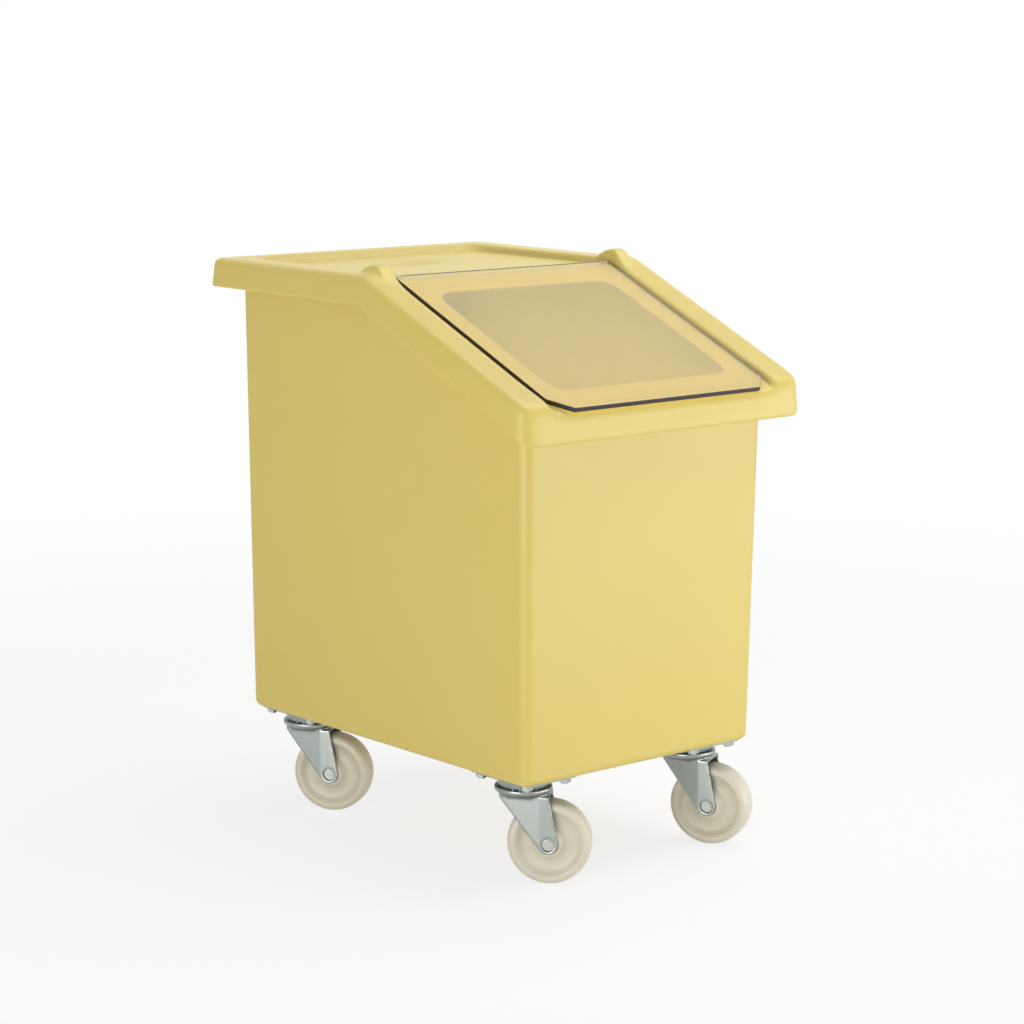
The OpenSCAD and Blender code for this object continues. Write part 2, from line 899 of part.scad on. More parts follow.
at_castor(rear_left) balls();  // rear_left_balls
at_castor(rear_left) fork();  // rear_left_fork
at_castor(rear_left) race_washer();  // rear_left_race_washer
at_castor(rear_left) axle();  // rear_left_axle
at_castor(rear_left) sleeve();  // rear_left_sleeve
at_castor(rear_left) wheel();  // rear_left_wheel
at_king_pin(rear_right) plate();  // rear_right_plate
at_king_pin(rear_right) king_pin();  // rear_right_king_pin
at_castor(rear_right) balls();  // rear_right_balls
at_castor(rear_right) fork();  // rear_right_fork
at_castor(rear_right) race_washer();  // rear_right_race_washer
at_castor(rear_right) axle();  // rear_right_axle
at_castor(rear_right) sleeve();  // rear_right_sleeve
at_castor(rear_right) wheel();  // rear_right_wheel
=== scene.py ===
import json
import math

import bmesh
import bpy
from bmesh.types import BMEdge, BMFace, BMVert
from mathutils import Matrix, Vector


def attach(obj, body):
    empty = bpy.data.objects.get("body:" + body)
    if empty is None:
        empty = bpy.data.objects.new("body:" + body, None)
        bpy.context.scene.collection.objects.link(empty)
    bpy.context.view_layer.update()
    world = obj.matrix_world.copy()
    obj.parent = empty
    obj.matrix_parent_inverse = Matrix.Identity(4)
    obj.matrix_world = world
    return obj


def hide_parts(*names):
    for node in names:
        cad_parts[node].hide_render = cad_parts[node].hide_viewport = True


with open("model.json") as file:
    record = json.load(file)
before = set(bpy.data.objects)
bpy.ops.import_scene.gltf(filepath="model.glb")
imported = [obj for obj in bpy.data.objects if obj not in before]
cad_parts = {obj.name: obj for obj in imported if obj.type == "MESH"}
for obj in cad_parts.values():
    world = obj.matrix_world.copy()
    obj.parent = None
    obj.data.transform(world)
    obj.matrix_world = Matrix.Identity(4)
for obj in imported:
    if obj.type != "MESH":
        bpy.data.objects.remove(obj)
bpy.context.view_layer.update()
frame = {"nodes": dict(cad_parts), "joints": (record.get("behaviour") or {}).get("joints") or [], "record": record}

mm = 0.001
tiny = 0.1 * mm  # slack when vertices are picked by their place
merge = 0.01 * mm  # vertices nearer than this become one
plainWhite = (1.0, 1.0, 1.0, 1.0)
joints = {joint["name"]: joint for joint in frame["joints"]}
ends = ("front_left", "front_right", "rear_left", "rear_right")
print("frame loaded:", len(frame["nodes"]), "nodes")


# colours and nodes

def toLinear(hexColour):
    # the sRGB curve
    parts = [int(hexColour[i:i + 2], 16) / 255 for i in (1, 3, 5)]
    return tuple(c / 12.92 if c <= 0.04045 else ((c + 0.055) / 1.055) ** 2.4 for c in parts) + (1.0,)


# Inputs are given by name, or by number where several of a node's sockets share one name.
def addNode(tree, kind, settings=None, inputs=None):
    node = tree.nodes.new(kind)
    for name, value in (settings or {}).items():
        setattr(node, name, value)
    for name, value in (inputs or {}).items():
        if isinstance(value, bpy.types.NodeSocket):
            tree.links.new(value, node.inputs[name])
        else:
            node.inputs[name].default_value = value
    return node


def newTree(name):
    material = bpy.data.materials.new(name)
    material.use_nodes = True
    material.node_tree.nodes.clear()
    return material, material.node_tree


# materials

# Rotomoulded polyethylene: waxy satin, cloudy by a shade, with the fine orange peel of the mould.
# Some light soaks through its wall, so the inside of the bin isn't dark, and the inner skin takes in
# more of it. The inner skin is also painted a paler yellow than the outside: painted light that brightens the
# inside of the bin.
polyethylene = {
    "colour": "#d4c067",
    "cloudColour": "#d1bc62",
    # painted light: the inside of the tub is a paler copy of the same plastic, to look lit
    "innerPaintedLightColour": "#e4cb7c",
    "cloud": 160 * mm,
    "cloudDetail": 3.0,
    "cloudRough": 0.55,
    "peel": 2.2 * mm,
    "peelDetail": 1.0,
    "peelHeight": 0.03 * mm,
    "peelStrength": 0.5,
    "roughness": (0.4, 0.48),
    "ior": 1.51,
    "soak": (0.05, 4 * mm, (1.0, 0.84, 0.37)),  # share, reach, and how far each colour goes of it
    "innerSoak": (1.0, 60 * mm, (1.0, 0.85, 0.52)),
}


def makePolyethylene(name, pale, soak):
    soakShare, soakReach, soakColours = soak
    material, tree = newTree(name)
    place = addNode(tree, "ShaderNodeTexCoord").outputs["Object"]
    cloud = addNode(tree, "ShaderNodeTexNoise", None,
                    {"Vector": place, "Scale": 1 / polyethylene["cloud"],
                     "Detail": polyethylene["cloudDetail"], "Roughness": polyethylene["cloudRough"]})
    colour = addNode(tree, "ShaderNodeMix", {"data_type": "RGBA"},
                     {0: cloud.outputs["Fac"], 6: toLinear(pale),
                      7: toLinear(polyethylene["cloudColour"])})
    sheen = addNode(tree, "ShaderNodeMapRange", None,
                    {"Value": cloud.outputs["Fac"], "To Min": polyethylene["roughness"][0],
                     "To Max": polyethylene["roughness"][1]})
    peel = addNode(tree, "ShaderNodeTexNoise", None,
                   {"Vector": place, "Scale": 1 / polyethylene["peel"],
                    "Detail": polyethylene["peelDetail"]})
    bump = addNode(tree, "ShaderNodeBump", None,
                   {"Height": peel.outputs["Fac"], "Distance": polyethylene["peelHeight"],
                    "Strength": polyethylene["peelStrength"]})
    shader = addNode(tree, "ShaderNodeBsdfPrincipled", None,
                     {"Base Color": colour.outputs[2], "Roughness": sheen.outputs["Result"],
                      "Normal": bump.outputs["Normal"], "IOR": polyethylene["ior"],
                      "Subsurface Weight": soakShare, "Subsurface Scale": soakReach,
                      "Subsurface Radius": soakColours})
    addNode(tree, "ShaderNodeOutputMaterial", None, {"Surface": shader.outputs["BSDF"]})
    return material


# Cast acrylic sheet with a faint smoke: see-through, polished, with hairline scuffs from wiping.
# Lamps shine through it, so that what lies under it is lit as under the real sheet.
acrylic = {
    "colour": "#f8efc2",
    "scuff": 6 * mm,
    "scuffDetail": 4.0,
    "roughness": (0.1, 0.16),
    "clear": 0.93,
    "ior": 1.49,
    "edgeShadeColour": "#2c1d22",  # painted shade: the clear sawn edge is painted near black for the dark look the smoke of the whole sheet gives it
    "edgeDetail": 2.0,
    "edgeRoughness": (0.24, 0.36),
}


def makeAcrylic():
    material, tree = newTree("smoked_acrylic")
    place = addNode(tree, "ShaderNodeTexCoord").outputs["Object"]
    scuff = addNode(tree, "ShaderNodeTexNoise", None,
                    {"Vector": place, "Scale": 1 / acrylic["scuff"], "Detail": acrylic["scuffDetail"]})
    haze = addNode(tree, "ShaderNodeMapRange", None,
                   {"Value": scuff.outputs["Fac"], "To Min": acrylic["roughness"][0],
                    "To Max": acrylic["roughness"][1]})
    shader = addNode(tree, "ShaderNodeBsdfPrincipled", None,
                     {"Base Color": toLinear(acrylic["colour"]), "Roughness": haze.outputs["Result"],
                      "Transmission Weight": acrylic["clear"], "IOR": acrylic["ior"]})
    clear = addNode(tree, "ShaderNodeBsdfTransparent", None, {"Color": toLinear(acrylic["colour"])})
    path = addNode(tree, "ShaderNodeLightPath")
    sheet = addNode(tree, "ShaderNodeMixShader", None,
                    {0: path.outputs["Is Shadow Ray"], 1: shader.outputs["BSDF"],
                     2: clear.outputs["BSDF"]})
    sheet = addNode(tree, "ShaderNodeMixShader", None,
                    {0: path.outputs["Is Diffuse Ray"], 1: sheet.outputs["Shader"],
                     2: clear.outputs["BSDF"]})
    addNode(tree, "ShaderNodeOutputMaterial", None, {"Surface": sheet.outputs["Shader"]})
    return material


# The sawn edge is opaque and near black: painted shade for how dark the edge of the smoked sheet looks.
def makeAcrylicEdge():
    material, tree = newTree("acrylic_edge_painted_shade")
    place = addNode(tree, "ShaderNodeTexCoord").outputs["Object"]
    saw = addNode(tree, "ShaderNodeTexNoise", None,
                  {"Vector": place, "Scale": 1 / acrylic["scuff"], "Detail": acrylic["edgeDetail"]})
    haze = addNode(tree, "ShaderNodeMapRange", None,
                   {"Value": saw.outputs["Fac"], "To Min": acrylic["edgeRoughness"][0],
                    "To Max": acrylic["edgeRoughness"][1]})
    shader = addNode(tree, "ShaderNodeBsdfPrincipled", None,
                     {"Base Color": toLinear(acrylic["edgeShadeColour"]), "Roughness": haze.outputs["Result"],
                      "IOR": acrylic["ior"]})
    addNode(tree, "ShaderNodeOutputMaterial", None, {"Surface": shader.outputs["BSDF"]})
    return material


# Moulded nylon: off-white, milky and smooth, with faint grey stains.
nylon = {
    "colour": "#d8d3c2",
    "stainColour": "#c9c3ac",
    "stain": 26 * mm,
    "stainDetail": 4.0,
    "grain": 1.1 * mm,
    "grainDetail": 1.0,
    "grainHeight": 0.02 * mm,
    "grainStrength": 0.4,
    "roughness": 0.42,
    "ior": 1.53,
    "soak": (0.1, 4 * mm),
}


def makeNylon():
    material, tree = newTree("moulded_nylon")
    place = addNode(tree, "ShaderNodeTexCoord").outputs["Object"]
    stain = addNode(tree, "ShaderNodeTexNoise", None,
                    {"Vector": place, "Scale": 1 / nylon["stain"], "Detail": nylon["stainDetail"]})
    colour = addNode(tree, "ShaderNodeMix", {"data_type": "RGBA"},
                     {0: stain.outputs["Fac"], 6: toLinear(nylon["colour"]),
                      7: toLinear(nylon["stainColour"])})
    grain = addNode(tree, "ShaderNodeTexNoise", None,
                    {"Vector": place, "Scale": 1 / nylon["grain"], "Detail": nylon["grainDetail"]})
    bump = addNode(tree, "ShaderNodeBump", None,
                   {"Height": grain.outputs["Fac"], "Distance": nylon["grainHeight"],
                    "Strength": nylon["grainStrength"]})
    shader = addNode(tree, "ShaderNodeBsdfPrincipled", None,
                     {"Base Color": colour.outputs[2], "Normal": bump.outputs["Normal"],
                      "Roughness": nylon["roughness"], "IOR": nylon["ior"],
                      "Subsurface Weight": nylon["soak"][0], "Subsurface Scale": nylon["soak"][1]})
    addNode(tree, "ShaderNodeOutputMaterial", None, {"Surface": shader.outputs["BSDF"]})
    return material


# Bright zinc plate on pressed steel: pale grey with a cold tinge, clouded by the bath, soft reflections.
zinc = {
    "colour": "#a1a6a1",
    "cloudColour": "#8d9390",
    "cloud": 9 * mm,
    "cloudDetail": 4.0,
    "roughness": (0.26, 0.42),
    "pit": 0.8 * mm,
    "pitDetail": 1.0,
    "pitHeight": 0.015 * mm,
    "pitStrength": 0.4,
}


def makeZinc():
    material, tree = newTree("bright_zinc_plate")
    place = addNode(tree, "ShaderNodeTexCoord").outputs["Object"]
    cloud = addNode(tree, "ShaderNodeTexNoise", None,
                    {"Vector": place, "Scale": 1 / zinc["cloud"], "Detail": zinc["cloudDetail"]})
    colour = addNode(tree, "ShaderNodeMix", {"data_type": "RGBA"},
                     {0: cloud.outputs["Fac"], 6: toLinear(zinc["colour"]),
                      7: toLinear(zinc["cloudColour"])})
    sheen = addNode(tree, "ShaderNodeMapRange", None,
                    {"Value": cloud.outputs["Fac"], "To Min": zinc["roughness"][0],
                     "To Max": zinc["roughness"][1]})
    pit = addNode(tree, "ShaderNodeTexNoise", None,
                  {"Vector": place, "Scale": 1 / zinc["pit"], "Detail": zinc["pitDetail"]})
    bump = addNode(tree, "ShaderNodeBump", None,
                   {"Height": pit.outputs["Fac"], "Distance": zinc["pitHeight"],
                    "Strength": zinc["pitStrength"]})
    shader = addNode(tree, "ShaderNodeBsdfPrincipled", None,
                     {"Base Color": colour.outputs[2], "Roughness": sheen.outputs["Result"],
                      "Normal": bump.outputs["Normal"], "Metallic": 1.0})
    addNode(tree, "ShaderNodeOutputMaterial", None, {"Surface": shader.outputs["BSDF"]})
    return material


# Turned steel: brighter than the plate, with faint tool marks.
steel = {
    "colour": "#c2c2bd",
    "markColour": "#a9a9a5",
    "mark": 3 * mm,
    "markDetail": 5.0,
    "roughness": (0.2, 0.34),
}


def makeSteel():
    material, tree = newTree("turned_steel")
    place = addNode(tree, "ShaderNodeTexCoord").outputs["Object"]
    mark = addNode(tree, "ShaderNodeTexNoise", None,
                   {"Vector": place, "Scale": 1 / steel["mark"], "Detail": steel["markDetail"]})
    colour = addNode(tree, "ShaderNodeMix", {"data_type": "RGBA"},
                     {0: mark.outputs["Fac"], 6: toLinear(steel["colour"]),
                      7: toLinear(steel["markColour"])})
    sheen = addNode(tree, "ShaderNodeMapRange", None,
                    {"Value": mark.outputs["Fac"], "To Min": steel["roughness"][0],
                     "To Max": steel["roughness"][1]})
    shader = addNode(tree, "ShaderNodeBsdfPrincipled", None,
                     {"Base Color": colour.outputs[2], "Roughness": sheen.outputs["Result"],
                      "Metallic": 1.0})
    addNode(tree, "ShaderNodeOutputMaterial", None, {"Surface": shader.outputs["BSDF"]})
    return material


yellowPlastic = makePolyethylene("rotomoulded_polyethylene", polyethylene["colour"],
                                 polyethylene["soak"])
# the inside of the tub gets the paler copy of the plastic, painted light
insidePaintedLight = makePolyethylene("rotomoulded_inside_painted_light", polyethylene["innerPaintedLightColour"],
                                polyethylene["innerSoak"])
clearSheet = makeAcrylic()
shadedEdge = makeAcrylicEdge()
whiteNylon = makeNylon()
zincPlate = makeZinc()
turnedSteel = makeSteel()
slotMaterials = {
    "yellow_polyethylene": yellowPlastic,
    "smoky_acrylic": clearSheet,
    "zinc_plate": zincPlate,
    "steel": turnedSteel,
    "white_nylon": whiteNylon,
}
for part in frame["record"]["subparts"]:
    node = frame["nodes"][part["node"]]
    for materialSlot in node.material_slots:
        materialSlot.material = slotMaterials[part["material_slot"]]
print("materials made and set on the CAD nodes")


# pieces

def addPiece(name, bm, materials, body, nodes):
    mesh = bpy.data.meshes.new(name)
    bm.to_mesh(mesh)
    bm.free()
    for material in materials:
        mesh.materials.append(material)
    mesh.shade_smooth()
    piece = bpy.data.objects.new(name, mesh)
    bpy.context.scene.collection.objects.link(piece)
    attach(piece, body)
    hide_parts(*nodes)
    print("made", name, "with", len(mesh.polygons), "faces")
    return piece


def addModifier(piece, kind, settings):
    modifier = piece.modifiers.new(kind.lower(), kind)
    for name, value in settings.items():
        setattr(modifier, name, value)


def near(value, place):
    return abs(value - place) < tiny


def pick(parts, kind):
    return [part for part in parts if isinstance(part, kind)]


def cutAcross(bm, point, normal, parts=None, clear=False):
    bmesh.ops.bisect_plane(bm, geom=parts or bm.verts[:] + bm.edges[:] + bm.faces[:], dist=merge,
                           plane_co=point, plane_no=normal, clear_outer=clear)


def roundOff(bm, edges, width, steps):
    # a profile of 0.5 is a round one
    bmesh.ops.bevel(bm, geom=edges, offset=width, segments=steps, profile=0.5,
                    affect="EDGES", material=-1)


latheSteps = 48


def turnOnLathe(bm, section, closed):
    # the section is pairs of radius and height in mm, turned about the upright axis
    verts = [bm.verts.new((radius * mm, 0, height * mm)) for radius, height in section]
    following = verts[1:] + verts[:1] if closed else verts[1:]
    edges = [bm.edges.new(pair) for pair in zip(verts, following)]
    bmesh.ops.spin(bm, geom=verts + edges, cent=(0, 0, 0), axis=(0, 0, 1), angle=2 * math.pi,
                   steps=latheSteps, use_merge=True)
    bmesh.ops.remove_doubles(bm, verts=bm.verts[:], dist=merge)
    bmesh.ops.recalc_face_normals(bm, faces=bm.faces[:])


# Cover: a moulded sheet with raised rails, a recess for the deck and the flap, and a skirt all round.
cover = {
    "half": 227 * mm,
    "front": -303.5 * mm,
    "rear": 303.5 * mm,
    "top": 707 * mm,
    "bend": -8 * mm,
    "slope": math.radians(23.4),
    "wall": 5 * mm,
    "rounding": 3,
    "recess": 9.5 * mm,
    "floorHalf": 175 * mm,
    "floorRear": 261.5 * mm,
    "floorCrease": 0.9,  # keeps the floor of the recess flat nearly up to its wall
    "lipHalf": 181 * mm,
    "lipRear": 267.5 * mm,
    "lipEase": 2.5 * mm,  # how far the rails fall towards the flap
    "lipPull": 4 * mm,
    "edge": 22 * mm,  # run of the soft front edge
    "rearEdge": 15 * mm,
    "edgeDrop": 22 * mm,
    "flare": 3 * mm,  # how far the skirt leans out towards its lower edge
    "skirt": 35 * mm,
    "frontSkirt": 44 * mm,
    "ease": 52 * mm,  # length over which the side skirt deepens to the front
    "cornerPull": 4 * mm,  # how far a corner vertex comes in to round the plan
    "hatchHalf": 138 * mm,
    "hatchRear": -42.8 * mm,
    "hatchFront": -257.5 * mm,
    "hatchRound": 38 * mm,
    "fingerHalf": 32 * mm,
    "fingerY": 177.5 * mm,
    "fingerReach": 12 * mm,
    "fingerDeep": 7 * mm,
    "fingerGuard": (60 * mm, 30 * mm),  # lines beside, before and behind the dip that keep the deck flat
    "flatX": 100 * mm,  # more such lines
    "flatY": (100 * mm, 32 * mm),
    # mm from the middle, and the share of a boss's lift there
    "bossLines": {181: 1.0, 188: 1.0, 197: 1.0, 200.5: 0.9, 203.5: 0.0},
    # mm behind the bend, and a boss's lift there in mm
    "bossLift": {32: 0.0, 25: 6.0, 17: 9.5, 8: 11.0, 0: 11.0, -6: 9.0, -12: 5.0, -20: 0.0},
    "channel": 2 * mm,  # depth of the channel under the flap's rear edge
}


def coverLevel(y):
    return cover["top"] - max(0.0, cover["bend"] - y) * math.tan(cover["slope"])


def skirtDrop(y):
    if y >= cover["bend"] - tiny:
        return cover["skirt"]
    sloped = cover["skirt"] / math.cos(cover["slope"])
    eased = max(0.0, (cover["front"] + cover["ease"] - y) / cover["ease"])
    return sloped + (cover["frontSkirt"] - sloped) * eased ** 2


def coverSheet(bm):
    rows = [[bm.verts.new((side * cover["half"], y, coverLevel(y))) for side in (-1, 1)]
            for y in (cover["rear"], cover["bend"], cover["front"])]
    for behind, ahead in zip(rows, rows[1:]):
        bm.faces.new((behind[0], ahead[0], ahead[1], behind[1]))
    guardX, guardY = cover["fingerGuard"]
    xLines = (cover["fingerHalf"], guardX, cover["flatX"], cover["hatchHalf"], cover["floorHalf"],
              *(line * mm for line in cover["bossLines"]))
    yLines = (cover["rear"] - cover["rearEdge"], cover["lipRear"], cover["floorRear"],
              cover["fingerY"] + guardY, cover["fingerY"] + cover["fingerReach"],
              cover["fingerY"] - cover["fingerReach"], cover["fingerY"] - guardY, *cover["flatY"],
              *(cover["bend"] + back * mm for back in cover["bossLift"] if back),
              cover["hatchRear"], cover["hatchRear"] - cover["hatchRound"],
              cover["hatchFront"] + cover["hatchRound"], cover["hatchFront"],
              cover["front"] + cover["edge"])
    for line in xLines:
        cutAcross(bm, (-line, 0, 0), (1, 0, 0))
        cutAcross(bm, (line, 0, 0), (1, 0, 0))
    cutAcross(bm, (0, 0, 0), (1, 0, 0))
    for line in yLines:
        cutAcross(bm, (0, line, 0), (0, 1, 0))


def coverRecess(bm):
    sunk = [v for v in bm.verts
            if abs(v.co.x) < cover["floorHalf"] + tiny and v.co.y < cover["floorRear"] + tiny]
    deep = cover["recess"]
    deck = [v for v in sunk if v.co.y > cover["bend"] + tiny]
    fold = [v for v in sunk if near(v.co.y, cover["bend"])]
    slope = [v for v in sunk if v.co.y < cover["bend"] - tiny]
    finger = [v for v in deck if abs(v.co.x) < cover["fingerHalf"] + tiny
              and abs(v.co.y - cover["fingerY"]) < cover["fingerReach"] + tiny]
    hole = [f for f in bm.faces
            if abs(f.calc_center_median().x) < cover["hatchHalf"]
            and cover["hatchFront"] < f.calc_center_median().y < cover["hatchRear"]]
    floorEdges = [e for e in bm.edges
                  if all(near(abs(v.co.x), cover["floorHalf"]) and v in sunk for v in e.verts)
                  or all(near(v.co.y, cover["floorRear"]) and v in sunk for v in e.verts)]
    crease = bm.edges.layers.float["crease_edge"]
    for e in floorEdges:
        e[crease] = cover["floorCrease"]
    foldMove = (0, deep * math.tan(cover["slope"] / 2), -deep - cover["channel"])
    bmesh.ops.translate(bm, verts=deck, vec=(0, 0, -deep))
    bmesh.ops.translate(bm, verts=fold, vec=foldMove)
    bmesh.ops.translate(bm, verts=slope, vec=(0, 0, -deep / math.cos(cover["slope"])))
    bmesh.ops.translate(bm, verts=finger, vec=(0, 0, -cover["fingerDeep"]))
    bmesh.ops.delete(bm, geom=hole, context="FACES")


def coverBosses(bm):
    for back, lift in cover["bossLift"].items():
        for line, share in cover["bossLines"].items():
            row = [v for v in bm.verts
                   if near(abs(v.co.x), line * mm) and near(v.co.y, cover["bend"] + back * mm)]
            bmesh.ops.translate(bm, verts=row, vec=(0, 0, lift * share * mm))
    bossFront = cover["bend"] + min(cover["bossLift"]) * mm
    eased = [v for v in bm.verts if near(abs(v.co.x), cover["lipHalf"])
             and cover["hatchFront"] - tiny < v.co.y < bossFront - tiny]
    bmesh.ops.translate(bm, verts=eased, vec=(0, 0, -cover["lipEase"]))


def coverSkirt(bm):
    hatch = [e for e in bm.edges if e.is_boundary
             and all(abs(v.co.x) < cover["hatchHalf"] + tiny
                     and cover["front"] + tiny < v.co.y < cover["lipRear"] for v in e.verts)]
    rim = [e for e in bm.edges if e.is_boundary and e not in hatch]
    upper = bmesh.ops.extrude_edge_only(bm, edges=rim)["geom"]
    ring = pick(upper, BMVert)
    for v in ring:
        v.co.z = coverLevel(v.co.y) - cover["edgeDrop"]
    lower = bmesh.ops.extrude_edge_only(bm, edges=pick(upper, BMEdge))["geom"]
    for v in pick(lower, BMVert):
        v.co.z = coverLevel(v.co.y) - skirtDrop(v.co.y)
    top = {v for e in rim for v in e.verts}
    for v in (*top, *ring):
        if near(abs(v.co.x), cover["half"]):
            v.co.x -= math.copysign(cover["flare"], v.co.x)
        if near(v.co.y, cover["front"]):
            v.co.y += cover["flare"]
        elif near(v.co.y, cover["rear"]):
            v.co.y -= cover["flare"]


def pullCorners(bm):
    slack = cover["flare"] + tiny
    pulls = ((cover["half"], (cover["front"], cover["rear"]), cover["cornerPull"]),
             (cover["floorHalf"], (cover["floorRear"],), cover["lipPull"]),
             (cover["lipHalf"], (cover["lipRear"],), cover["lipPull"]))
    for x, places, pull in pulls:
        for y in places:
            inward = -math.copysign(pull, y)
            rise = pull * math.tan(cover["slope"]) if y < 0 else 0.0
            for v in bm.verts:
                if abs(abs(v.co.x) - x) < slack and abs(v.co.y - y) < slack:
                    v.co += Vector((-math.copysign(pull, v.co.x), inward, rise))


def makeCover():
    bm = bmesh.new()
    bm.edges.layers.float.new("crease_edge")
    coverSheet(bm)
    coverRecess(bm)
    coverBosses(bm)
    coverSkirt(bm)
    pullCorners(bm)
    bmesh.ops.recalc_face_normals(bm, faces=bm.faces[:])
    piece = addPiece("moulded_cover", bm, [yellowPlastic], "cover", ["cover"])
    addModifier(piece, "SOLIDIFY", {"thickness": cover["wall"], "offset": -1, "use_even_offset": True})
    addModifier(piece, "SUBSURF", {"levels": cover["rounding"], "render_levels": cover["rounding"]})


# Tub: a box with round corners that narrows to its base, and a rim that follows the cover's underside.
# The sizes are those of its inside, and the wall grows outwards from there.
tub = {
    "half": 184 * mm,
    "front": -261.5 * mm,
    "rear": 270.5 * mm,
    "base": 139 * mm,
    "taper": 7 * mm,  # how far each wall leans in down to the base
    "cornerRound": 6 * mm,
    "cornerSteps": 8,
    "baseRound": 1.5 * mm,
    "baseSteps": 5,
    "wall": 8 * mm,
    "under": 5.3 * mm,  # depth of the rim below the deck's rails and below the recess of the slope
    "rimSide": 29 * mm,
    "rimFront": 28 * mm,
    "rimRear": 19 * mm,
    "lip": 16 * mm,
    "edge": 1.2 * mm,
    "edgeSteps": 3,
    "edgeAngle": math.radians(40),
}


def tubBox(bm):
    size = Vector((2 * tub["half"], tub["rear"] - tub["front"], cover["top"] - tub["base"]))
    centre = Vector((0, (tub["rear"] + tub["front"]) / 2, (cover["top"] + tub["base"]) / 2))
    bmesh.ops.create_cube(bm, size=1, matrix=Matrix.Translation(centre) @ Matrix.Diagonal((*size, 1)))
    upright = [e for e in bm.edges if abs(e.verts[0].co.z - e.verts[1].co.z) > size.z / 2]
    roundOff(bm, upright, tub["cornerRound"], tub["cornerSteps"])
    bottom = [e for e in bm.edges if all(near(v.co.z, tub["base"]) for v in e.verts)]
    roundOff(bm, bottom, tub["baseRound"], tub["baseSteps"])
    lid = [f for f in bm.faces if all(near(v.co.z, cover["top"]) for v in f.verts)]
    bmesh.ops.delete(bm, geom=lid, context="FACES")
    for v in bm.verts:
        inward = tub["taper"] * (cover["top"] - v.co.z) / size.z
        v.co.x -= math.copysign(inward, v.co.x)
        v.co.y -= math.copysign(inward, v.co.y - centre.y)
    seat = (tub["under"] + cover["recess"]) / math.cos(cover["slope"])
    foldY = cover["bend"] + (seat - tub["under"]) / math.tan(cover["slope"])
    deck = cover["top"] - tub["under"]
    slopeUp = (0, -math.sin(cover["slope"]), math.cos(cover["slope"]))
    cutAcross(bm, (0, foldY, 0), (0, 1, 0))
    cutAcross(bm, (0, 0, deck), (0, 0, 1), clear=True)
    cutAcross(bm, (0, foldY, deck), slopeUp, clear=True)


def tubRim(bm):
    mouth = [e for e in bm.edges if e.is_boundary]
    rim = bmesh.ops.extrude_edge_only(bm, edges=mouth)["geom"]
    reach = tub["cornerRound"] + tub["taper"]
    for v in pick(rim, BMVert):
        if abs(v.co.x) > tub["half"] - reach:
            v.co.x += math.copysign(tub["rimSide"], v.co.x)
        if v.co.y > tub["rear"] - reach:
            v.co.y += tub["rimRear"]
        elif v.co.y < tub["front"] + reach:
            v.co.y -= tub["rimFront"]
            v.co.z -= tub["rimFront"] * math.tan(cover["slope"])
    lip = bmesh.ops.extrude_edge_only(bm, edges=pick(rim, BMEdge))["geom"]
    bmesh.ops.translate(bm, verts=pick(lip, BMVert), vec=(0, 0, -tub["lip"]))
    for f in pick((*rim, *lip), BMFace):
        f.material_index = 1


def makeTub():
    bm = bmesh.new()
    tubBox(bm)
    tubRim(bm)
    bmesh.ops.recalc_face_normals(bm, faces=bm.faces[:])
    bm.normal_update()
    # the base has to face up into the tub for the wall to grow outwards
    if min(bm.faces, key=lambda f: f.calc_center_median().z).normal.z < 0:
        bmesh.ops.reverse_faces(bm, faces=bm.faces[:])
    piece = addPiece("moulded_tub", bm, [insidePaintedLight, yellowPlastic], "bin",
                     ["tub"])
    addModifier(piece, "SOLIDIFY", {"thickness": tub["wall"], "offset": -1, "use_even_offset": True,
                                    "material_offset": 1, "material_offset_rim": 1})
    addModifier(piece, "BEVEL", {"width": tub["edge"], "segments": tub["edgeSteps"],
                                 "limit_method": "ANGLE", "angle_limit": tub["edgeAngle"]})
    addModifier(piece, "WEIGHTED_NORMAL", {"keep_sharp": True})


# Flap: a clear sheet with cut front corners and a round nose on the hinge.
flap = {
    "half": 173 * mm,
    "length": 321.5 * mm,
    "thick": 6 * mm,
    "cut": 25 * mm,
    "noseShare": 0.98,  # of half the thickness
    "noseSteps": 8,
    "edge": 0.5 * mm,
    "edgeSteps": 2,
    "level": 0.5,  # faces whose normals rise and point back less than this are sawn edges
    "rearward": 0.6,  # and so are the strips of the nose whose normals point back more than this
    "axis": Vector(joints["flap_hinge"]["pos_m"]),
}


def makeFlap():
    bm = bmesh.new()
    half, length, cut = flap["half"], flap["length"], flap["cut"]
    nose = flap["thick"] / 2
    outline = ((-half, nose), (-half, cut - length), (cut - half, -length),
               (half - cut, -length), (half, cut - length), (half, nose))
    sheet = bm.faces.new([bm.verts.new((x, y, -nose)) for x, y in outline])
    grown = bmesh.ops.extrude_face_region(bm, geom=[sheet])["geom"]
    bmesh.ops.translate(bm, verts=pick(grown, BMVert), vec=(0, 0, flap["thick"]))
    bmesh.ops.recalc_face_normals(bm, faces=bm.faces[:])
    for f in bm.faces:
        f.material_index = int(abs(f.normal.z) < flap["level"] and f.normal.y < flap["level"])
    rear = [e for e in bm.edges if all(near(v.co.y, nose) for v in e.verts)
            and near(e.verts[0].co.z, e.verts[1].co.z)]
    roundOff(bm, rear, flap["noseShare"] * nose, flap["noseSteps"])
    bm.normal_update()
    for f in bm.faces:
        f.material_index = max(f.material_index, int(f.normal.y > flap["rearward"]))
    rim = [e for e in bm.edges if len(e.link_faces) == 2
           and {f.material_index for f in e.link_faces} == {0, 1}]
    roundOff(bm, rim, flap["edge"], flap["edgeSteps"])
    turn = Matrix.Translation(flap["axis"]) @ Matrix.Rotation(cover["slope"], 4, "X")
    bmesh.ops.transform(bm, matrix=turn, verts=bm.verts[:])
    piece = addPiece("clear_flap", bm, [clearSheet, shadedEdge], "flap", ["flap"])
    addModifier(piece, "WEIGHTED_NORMAL", {"keep_sharp": True})


